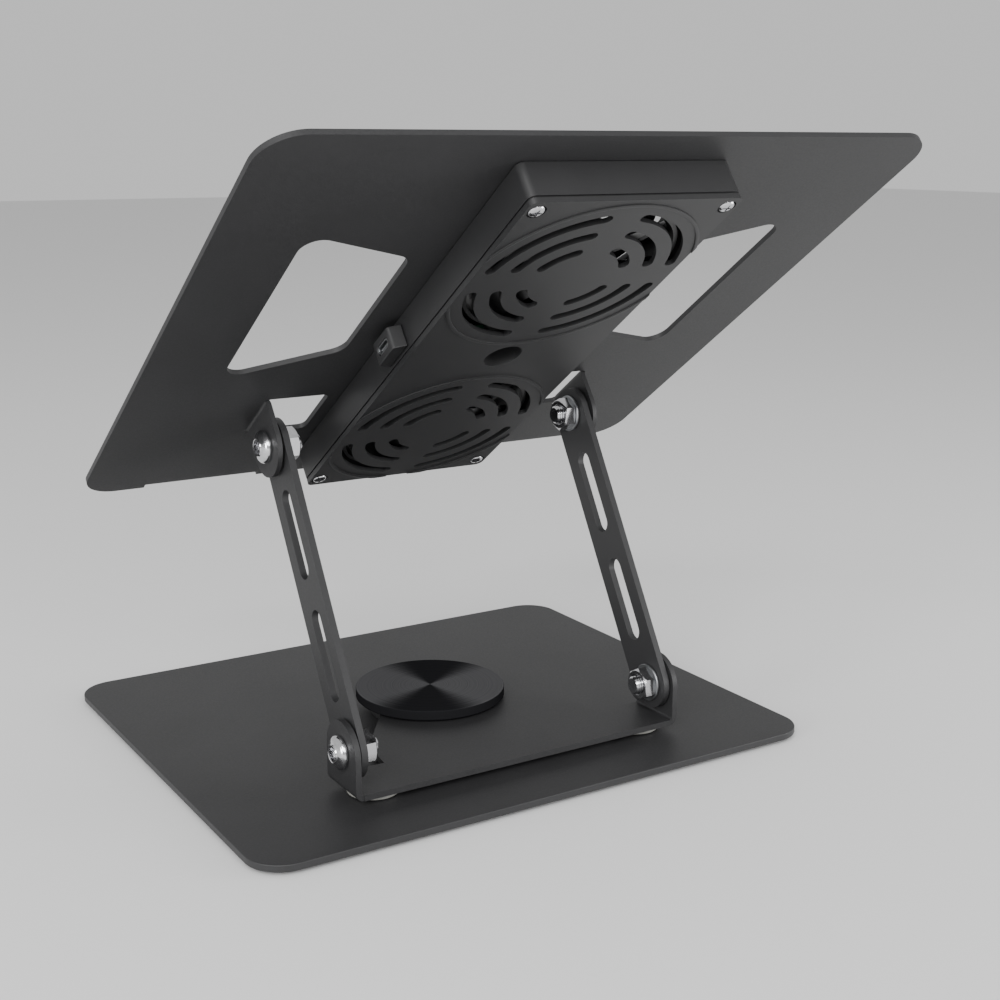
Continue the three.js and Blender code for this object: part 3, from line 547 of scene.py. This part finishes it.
# %% Cut the arms
LENGTH, LEAN = 125, radians(30)
BRIDGE, SLOT_LENGTH = 10.7, 28.4
UPPER = (LOWER[0] - LENGTH * sin(LEAN), LOWER[1] + LENGTH * cos(LEAN))


def along_arm(distance):
    return LOWER[0] - distance * sin(LEAN), LOWER[1] + distance * cos(LEAN)


arm = raised("flat_arm_right", slot_outline(along_arm(0), along_arm(LENGTH), 22.4, 32), 70.5, 73.3, "X")
for near in (LENGTH / 2 - BRIDGE - SLOT_LENGTH, LENGTH / 2 + BRIDGE):
    slot = slot_outline(along_arm(near), along_arm(near + SLOT_LENGTH), 8.6)
    carve(arm, raised("slot", slot, 60, 80, "X"))
for distance in (0, LENGTH):
    carve(arm, hinge_bore(*along_arm(distance)))
softened(arm, 0.35, 3)
fitted(across(arm, "flat_arm_left"), "arms", POWDER, "powder_coat", "arm_left")
fitted(arm, "arms", POWDER, "powder_coat", "arm_right")
print("arms", LENGTH, "mm between pivots")

# %% [markdown]
# ## Hinge bolts and nuts
# Each hinge is an M8 button-head bolt from outside, a nylon washer between ear and arm, and a washer and nut
# inside. The bolt is turned in one go with its dome and the thread's ridges at the free end, then the hex
# socket is cut with a six-sided cutter. The nut is a hexagon whose corners are trimmed by a turned cone.


# %% Turn the bolts, cut the nuts
PITCH = 1.25


def hexagon(y, z, reach, turn=0.0):
    return [(y + reach * cos(turn + i * pi / 3), z + reach * sin(turn + i * pi / 3)) for i in range(6)]


def hinge_bolt(name, y, z):
    thread = []
    for i in range(5):
        at = 62.7 + i * PITCH
        thread += [(3.85, at), (3.85, at + 0.2), (3.35, at + 0.6), (3.35, at + 0.75)]
    dome = [(6.8 * cos(t), 77.6 + 2.95 * sin(t)) for t in map(radians, range(0, 60, 8))]
    profile = [(0, 62), (3.2, 62), *thread, (3.9, 69.2), (3.9, 76.75), (6.6, 76.75), (6.8, 76.95), *dome,
               (3.5, 80.5), (3.1, 80.35), (0, 80.35)]
    made = turned(name, profile, (0, y, z), "X")
    carve(made, raised("key", hexagon(y, z, 2.9), 78.15, 84, "X"))
    return shaded(made, 32)


def hinge_nut(name, y, z):
    across_corners = 12.6 / 3 ** 0.5
    made = raised(name, hexagon(y, z, across_corners, pi / 6), 64.3, 69.3, "X")
    cone = [(0, 64.3), (6.1, 64.3), (7.5, 65.1), (7.5, 68.7), (6.3, 69.3), (0, 69.3)]
    carve(made, turned("cone", cone, (0, y, z), "X"), "INTERSECT")
    sunk = [(0, 64), (4.9, 64), (BORE, 64.8), (BORE, 80), (0, 80)]
    carve(made, turned("sunk", sunk, (0, y, z), "X"))
    return softened(made, 0.12, 2, 25)


def hinge_set(level, body, y, z, ear_inner):
    bolt = hinge_bolt(level + "_hinge_bolt_right", y, z)
    nut = hinge_nut(level + "_hinge_nut_right", y, z)
    spacer = ring(level + "_spacer_right", 8.6, BORE, 73.45, ear_inner - 0.15, (0, y, z), "X")
    washer = ring(level + "_flat_washer_right", 8, BORE, 69.4, 70.35, (0, y, z), "X", 0.2)
    hardware = ((bolt, CHROME, "bright_steel", "bolt"), (nut, CHROME, "bright_steel", "nut"),
                (spacer, NYLON, "nylon", "ear_washer"), (washer, ZINC, "steel", "nut_washer"))
    for piece, look, slot, stem in hardware:
        twin = across(piece, piece.name.replace("right", "left"))
        fitted(twin, body, look, slot, f"{level}_{stem}_left")
        fitted(piece, body, look, slot, f"{level}_{stem}_right")


hinge_set("lower", "bracket", *LOWER, 74.2)
hinge_set("upper", "upper_hinge", *UPPER, 74.6)
print("four hinges of four pieces each")

# %% [markdown]
# ## The tray's own place
# The tray is easiest to model lying flat: across, up the slope and out of its face. Afterwards each piece is
# turned by the slope and moved to the upper hinge in one step.

# %% Onto the slope
SLOPE = radians(35.4)
PIVOT_V, PIVOT_N = 61.5, -13.8
TRAY_PLACE = (0, UPPER[0] - PIVOT_V * cos(SLOPE) + PIVOT_N * sin(SLOPE),
              UPPER[1] - PIVOT_V * sin(SLOPE) - PIVOT_N * cos(SLOPE))


def onto_tray(piece):
    return moved(piece, TRAY_PLACE, (SLOPE, 0, 0))


print("tray's front edge is", round(TRAY_PLACE[2]), "mm up")

# %% [markdown]
# ## Fan slots
# Both the tray and the fan cover have the same pattern: three rings of curved slots round each fan, cut into
# quarters by a solid cross. One cutter holds all twelve slots of one fan.

# %% Slots round a fan
FANS = {"rear": 186.6, "front": 64.6}
SLOT_RINGS = ((17.1, 21.4), (27.2, 31.5), (37.3, 41.6))
CROSS = 6


def arc_slot(centre, inner, outer, start, stop):
    middle, end = (inner + outer) / 2, (outer - inner) / 2
    tip = (middle * cos(stop), centre + middle * sin(stop))
    root = (middle * cos(start), centre + middle * sin(start))
    sides = (arc(0, centre, outer, start, stop, 16), arc(*tip, end, stop, stop + pi, 8),
             arc(0, centre, inner, stop, start, 14), arc(*root, end, start + pi, start + 2 * pi, 8))
    return [point for side in sides for point in side[:-1]]


def slot_cutter(centre, low, high):
    cutters = []
    for inner, outer in SLOT_RINGS:
        margin = asin((CROSS + (outer - inner) / 2) / ((inner + outer) / 2))
        for quarter in range(4):
            start = quarter * pi / 2
            outline = arc_slot(centre, inner, outer, start + margin, start + pi / 2 - margin)
            cutters.append(raised("slot", outline, low, high))
    return gathered(cutters)


# %% [markdown]
# ## Tray plate
# One 2 mm sheet: two four-sided windows to save weight, the fan slots, two openings where the hinge ears are
# folded down, and two lips folded up at the front to catch the laptop. Everything is cut flat first, then
# the folded ears and lips are joined on, each a bent strip trimmed to its outline.

# %% Cut the tray's windows and slots
WINDOW = ((57.4, 113), (102.7, 97.3), (102.7, 195.9), (57.4, 179))
tray = raised("tray_sheet", box_outline(-135.25, 135.25, 0, 250, 15, 16), 0, 2)
for side in (1, -1):
    window = [(x * side, v) for x, v in WINDOW][::side]
    carve(tray, raised("window", rounded(window, 7, 10), -1, 5))
    low, high = sorted((49.5 * side, 77.6 * side))
    carve(tray, raised("opening", box_outline(low, high, 45, 75.5, 3), -1, 5))
    low, high = sorted((57 * side, 108 * side))
    carve(tray, raised("notch", box_outline(low, high, -1, 3.5), -1, 5))
for centre in FANS.values():
    carve(tray, slot_cutter(centre, -1, 5))
print("tray has", len(tray.data.polygons), "faces after cutting")


# %% Fold the ears and lips
def tray_ear():
    bend = [(80.6, 0), (80.6, 2), *arc(77.6, -1, 3, pi / 2, pi, 8), (74.6, -33.8), (76.6, -33.8),
            *arc(77.6, -1, 1, pi, pi / 2, 6)]
    strip = raised("ear", bend, 49, 74, "Y")
    end = [(PIVOT_V - EAR_RADIUS, 10), *arc(PIVOT_V, PIVOT_N, EAR_RADIUS, pi, 2 * pi, 32),
           (PIVOT_V + EAR_RADIUS, 10)]
    carve(strip, raised("ear_end", end, 60, 90, "X"), "INTERSECT")
    return carve(strip, hinge_bore(PIVOT_V, PIVOT_N))


def tray_lip():
    bend = [(7.5, 0), (7.5, 2), *arc(3.5, 3.5, 1.5, -pi / 2, -pi, 6), (2, 21), (0, 21),
            *arc(3.5, 3.5, 3.5, pi, 3 * pi / 2, 8)]
    strip = raised("lip", bend, 57, 108, "X")
    return carve(strip, raised("lip_end", box_outline(57, 108, -6, 21, 6, 10), -1, 20, "Y"), "INTERSECT")


for made in (tray_ear(), tray_lip()):
    carve(tray, across(made, "folded_left"), "UNION")
    carve(tray, made, "UNION")
softened(tray, 0.3)
fitted(onto_tray(tray), "tray", POWDER, "powder_coat", "top_plate")
print("tray has", len(tray.data.polygons), "faces after folding")

# %% [markdown]
# ## Laptop pads
# Four silicone strips keep the laptop off the steel, and one on each lip guards its front edge. They are
# moulded with a rounded rim, so their edges are softened more than the steel's.

# %% Stick on the pads
for row, x, v, half in (("front", 98, 30, 23), ("rear", 86, 222, 25)):
    outline = box_outline(x - half, x + half, v - 6, v + 6, 5.9, 10)
    strip = raised(f"laptop_pad_{row}_right", outline, 2.3, 3.8)
    softened(strip, 0.5, 3)
    twin = across(strip, f"laptop_pad_{row}_left")
    fitted(onto_tray(twin), "tray", SILICONE, "silicone", f"tray_pad_{row}_left")
    fitted(onto_tray(strip), "tray", SILICONE, "silicone", f"tray_pad_{row}_right")
strip = raised("lip_guard_right", box_outline(62, 103, 6, 19, 4, 8), 2.3, 3.8, "Y")
softened(strip, 0.5, 3)
fitted(onto_tray(across(strip, "lip_guard_left")), "tray", SILICONE, "silicone", "lip_pad_left")
fitted(onto_tray(strip), "tray", SILICONE, "silicone", "lip_pad_right")
print("four tray pads and two lip guards")

# %% [markdown]
# ## Fan box
# The box is two mouldings: a deep frame with bosses for the screws, and a flat cover that closes it. The
# frame's lower rim is set in by 0.7 mm, which leaves the dark parting line that runs round the real box. The
# cover has a thin raised ring round each fan, a dish for each screw and a blind round well between the fans.

# %% Mould the frame
SCREWS = [(-39.5, 24, "front_left"), (39.5, 24, "front_right"),
          (-39.5, 231, "rear_left"), (39.5, 231, "rear_right")]
PORT_V, WELL_V = 128.5, 128.7
FRAME_LOW, FRAME_HIGH = -13.65, -0.3
COVER_LOW, COVER_HIGH = -15.7, -13.8


def box_plan(inset, corner):
    """The fan box's outline, drawn in from its outer wall by the inset."""
    return box_outline(-44 + inset, 44 - inset, 18.5 + inset, 236.5 - inset, corner)


def rod(name, radius, x, v, low, high, steps=32):
    return turned(name, [(0, low), (radius, low), (radius, high), (0, high)], (x, v, 0), steps=steps)


box = raised("fan_box_frame", box_plan(0, 3), -13, FRAME_HIGH)
carve(box, raised("rim", box_plan(0.7, 2.3), FRAME_LOW, -12), "UNION")
carve(box, raised("inside", box_plan(2, 1.5), -20, 5))
for x, v, word in SCREWS:
    carve(box, rod("boss", 3.4, x, v, FRAME_LOW, FRAME_HIGH), "UNION")
    carve(box, rod("pilot", 1.35, x, v, -20, -7))
carve(box, raised("port_hole", box_outline(PORT_V - 6, PORT_V + 6, -10.2, -4.8), 40, 46, "X"))
softened(box, 0.4)
fitted(onto_tray(box), "tray", ABS, "abs_black", "fan_housing")
print("frame has", len(box.data.polygons), "faces")

# %% Mould the cover
RIM = [(46.2, -15.4), (47.6, -15.4), (47.6, -16.1), (47.3, -16.2), (46.5, -16.2), (46.2, -16.1)]
cover = raised("fan_box_cover", box_plan(0, 3), COVER_LOW, COVER_HIGH)
for centre in FANS.values():
    rim = turned("rim", RIM, (0, centre, 0), steps=128)
    carve(rim, raised("inside", box_plan(0.2, 3), -20, -10), "INTERSECT")
    carve(cover, rim, "UNION")
    carve(cover, slot_cutter(centre, -20, -10))
for x, v, word in SCREWS:
    carve(cover, rod("hole", 1.8, x, v, -20, -10))
    carve(cover, rod("dish", 3.5, x, v, -20, -15))
carve(cover, rod("well", 9.4, 0, WELL_V, -14.8, -0.8, 48), "UNION")
carve(cover, rod("well_bore", 7.8, 0, WELL_V, -20, -2.4, 48))
softened(cover, 0.15)
fitted(onto_tray(cover), "tray", ABS, "abs_black", "grille_cover")
print("cover has", len(cover.data.polygons), "faces")

# %% [markdown]
# ## Screws and port
# The screws are small pan heads with a cross recess, sunk a little in their dishes. The port block stands
# out of the side of the box, and inside its mouth sits a steel socket with its tongue. The crosses are cut
# after the turning and keep crisp edges; the block and the socket are softened once their mouths are cut.

# %% Fit the small pieces
PAN = [(0, -16.4), (1.4, -16.38), (2.2, -16.2), (2.75, -15.85), (3, -15.4), (3, -15.1)]
SHANK = [(1.2, -15.1), (1.2, -8.1), (0, -8.1)]
for x, v, word in SCREWS:
    screw = turned("pan_screw_" + word, PAN + SHANK, (x, v, 0), steps=40)
    for a, b in ((1.8, 0.32), (0.32, 1.8)):
        carve(screw, raised("cross", box_outline(x - a, x + a, v - b, v + b), -18, -15.6))
    shaded(screw, 30)
    fitted(onto_tray(screw), "tray", CHROME, "bright_steel", "cover_screw_" + word)
sides = [(44.3, PORT_V - 8.5), (49.9, PORT_V - 7), (49.9, PORT_V + 7), (44.3, PORT_V + 8.5)]
block = raised("port_housing", rounded(sides, [0, 1.5, 1.5, 0], 6), -12, -3)
carve(block, raised("mouth", box_outline(PORT_V - 4.7, PORT_V + 4.7, -9.4, -5.6, 1.7), 40, 60, "X"))
softened(block, 0.3, 3)
fitted(onto_tray(block), "tray", ABS, "abs_black", "port_block")
shell = raised("socket_shell", box_outline(PORT_V - 4.5, PORT_V + 4.5, -9.2, -5.8, 1.6), 43, 49.6, "X")
carve(shell, raised("hollow", box_outline(PORT_V - 4.1, PORT_V + 4.1, -8.8, -6.2, 1.3), 44, 60, "X"))
tongue = box_outline(PORT_V - 3.2, PORT_V + 3.2, -7.85, -7.15)
carve(shell, raised("tongue", tongue, 43.5, 48.8, "X"), "UNION")
softened(shell, 0.08)
fitted(onto_tray(shell), "tray", ZINC, "steel", "usb_socket")
print("four screws, port block and socket")

# %% [markdown]
# ## Fans
# Each fan is a thin shroud with four spokes that hold the motor on the tray's side, and a rotor: a cup with
# nine blades that lean and twist towards their tips. One blade is a fine grid whose points are moved to the
# twisted shape and then given a thickness; its copies are turned round the hub and joined to it.


# %% Build a rotor
BLADES = 9
ROOT, TIP, MIDDLE = 12.5, 37.6, -7.9


def blade(turn):
    bpy.ops.object.select_all(action="DESELECT")
    bpy.ops.mesh.primitive_grid_add(x_subdivisions=10, y_subdivisions=6, size=1)
    made = bpy.context.object
    for vertex in made.data.vertices:
        out, along = vertex.co.x + 0.5, vertex.co.y
        radius = (ROOT + (TIP - ROOT) * out) * MM
        chord = along * (16 + 9 * out) * MM
        pitch = radians(32 - 14 * out)
        curl = 2.6 * MM * (1 - 4 * along * along)
        sweep = (chord * cos(pitch) - 6 * MM * out * out) / radius
        vertex.co = (radius * cos(sweep), radius * sin(sweep), MIDDLE * MM + chord * sin(pitch) + curl)
    only(made)
    thick = made.modifiers.new("thickness", "SOLIDIFY")
    thick.thickness, thick.offset = 1.1 * MM, 0
    bpy.ops.object.modifier_apply(modifier=thick.name)
    return moved(made, turn=(0, 0, turn))


def rotor(name, centre):
    half_cup = [(0, -12.2), *arc(13.3, -11, 1.2, -pi / 2, 0, 6), (14.5, -3.4),
                (12.9, -3.4), (12.9, -10.6), (0, -10.6)]
    cup = turned(name, half_cup, steps=64)
    for i in range(BLADES):
        carve(cup, blade(i * 2 * pi / BLADES), "UNION")
    return moved(shaded(cup, 35), (0, centre, 0))


# %% Build a shroud and fit both fans
def shroud(name, centre):
    made = turned(name, [(39, -12.6), (40.6, -12.6), (40.6, -1), (39, -1)], steps=96)
    for i in range(4):
        turn = pi / 4 + i * pi / 2
        spoke = raised("spoke", box_outline(12, 39.8, -1.5, 1.5), -2.6, -1)
        carve(made, moved(spoke, turn=(0, 0, turn)), "UNION")
    carve(made, rod("motor_seat", 15, 0, 0, -2.6, -1, 64), "UNION")
    softened(made, 0.15)
    return moved(made, (0, centre, 0))


for word, centre in FANS.items():
    still = onto_tray(shroud("fan_shroud_" + word, centre))
    fitted(still, "tray", FAN_PLASTIC, "abs_black", "fan_frame_" + word)
    wheel = onto_tray(rotor("fan_wheel_" + word, centre))
    fitted(wheel, "fan_" + word, FAN_PLASTIC, "abs_black", "fan_rotor_" + word)
    relook("fan_stator_" + word, COPPER)
    relook("fan_lead_" + word, PVC)
relook("control_board", BOARD)
relook("swivel_bolt", ZINC)
relook("swivel_sleeve", ZINC)
print("two fans")

# %% [markdown]
# ## Floor and light
# A pale floor and an even white surround keep the dark coat readable. One large soft light over the
# camera's left shoulder gives the plates their broad sheen. A low one close by on the right reaches under
# the tray and fades across it, and the fan box shades the plate on its far side. One on the left, level with
# the tray, lights the arms' faces but not the tray's. A last one from behind picks out the arms' edges.

# %% Set the studio
bpy.ops.object.select_all(action="DESELECT")
bpy.ops.mesh.primitive_plane_add(size=12, location=(0, 0, 0))
floor = bpy.context.object
floor.name = "floor"
PALE, tree, shader, place = finish("pale_floor", Roughness=0.9)
shader.inputs["Base Color"].default_value = linear("#dedede")
floor.data.materials.append(PALE)

world = bpy.data.worlds.new("surround")
world.use_nodes = True
world.node_tree.nodes["Background"].inputs[0].default_value = (1, 1, 1, 1)
world.node_tree.nodes["Background"].inputs[1].default_value = 0.7
bpy.context.scene.world = world


def soft_light(name, place, target, size, power):
    lamp = bpy.data.lights.new(name, "AREA")
    lamp.size, lamp.energy = size, power
    thing = bpy.data.objects.new(name, lamp)
    bpy.context.collection.objects.link(thing)
    way = Vector(target) - Vector(place)
    thing.matrix_world = Matrix.Translation(place) @ way.to_track_quat("-Z", "Y").to_matrix().to_4x4()


soft_light("key", (1.3, 1.3, 1.2), (0, 0, 0.1), 1.0, 34)
soft_light("low_right", (-0.85, 0.65, 0.1), (0, 0.05, 0.18), 0.5, 9)
soft_light("level_left", (1.5, 0.45, 0.35), (0, 0.05, 0.15), 0.5, 10)
soft_light("behind", (0.2, 1.6, 1.0), (0, 0, 0.2), 0.8, 15)
print("floor, surround and four soft lights")
